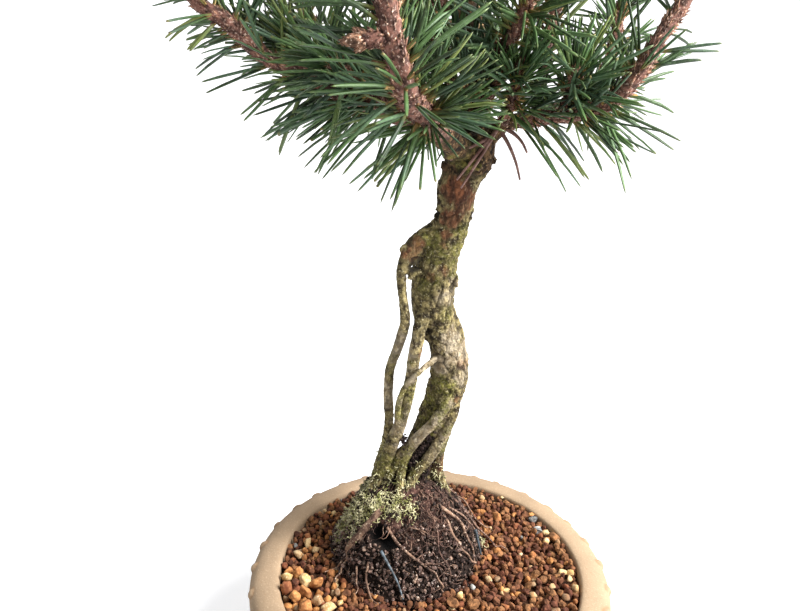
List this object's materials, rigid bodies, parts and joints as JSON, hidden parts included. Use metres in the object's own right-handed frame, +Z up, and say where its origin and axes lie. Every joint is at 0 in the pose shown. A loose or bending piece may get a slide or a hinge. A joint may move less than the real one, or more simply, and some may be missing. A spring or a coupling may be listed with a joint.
{
  "type": "potted black pine bonsai",
  "caption": "Japanese black pine bonsai with raised aerial roots, a mossy trunk and paired needles, in a round unglazed pot of akadama with small studs round its rim.",
  "frame": {"origin": "centre of the pot's flat underside", "axes": "+Z up; -Y towards the side that the picture was taken from; +X to the picture's right"},
  "size_m": [0.2081, 0.1796, 0.3458],
  "materials": {
    "clay": "matte",
    "screen_plastic": "matte",
    "akadama": "matte",
    "peat": "matte",
    "bark": "matte",
    "needles": "satin"
  },
  "bodies": {
    "root": {"pot": "clay", "drain_screen_1": "screen_plastic", "drain_screen_2": "screen_plastic", "akadama_bed": "akadama", "root_ball": "peat", "trunk_roots_and_branches": "bark", "spray_left_1": "needles", "spray_left_2": "needles", "spray_left_3": "needles", "spray_left_4": "needles", "spray_front_1": "needles", "spray_front_2": "needles", "spray_front_3": "needles", "spray_right_1": "needles", "spray_right_2": "needles", "spray_right_3": "needles", "spray_right_4": "needles", "spray_inner_right_1": "needles", "spray_inner_right_2": "needles", "spray_back_left_1": "needles", "spray_back_left_2": "needles", "spray_back_left_3": "needles", "spray_back_left_4": "needles", "spray_back_1": "needles", "spray_back_2": "needles", "spray_back_3": "needles", "spray_back_right_1": "needles", "spray_back_right_2": "needles", "spray_back_right_3": "needles", "spray_leader_1": "needles", "spray_upper_left_1": "needles", "spray_upper_left_2": "needles", "spray_upper_front_1": "needles", "spray_upper_front_2": "needles", "spray_middle_front_1": "needles", "spray_middle_back_1": "needles"}
  },
  "joints": []
}
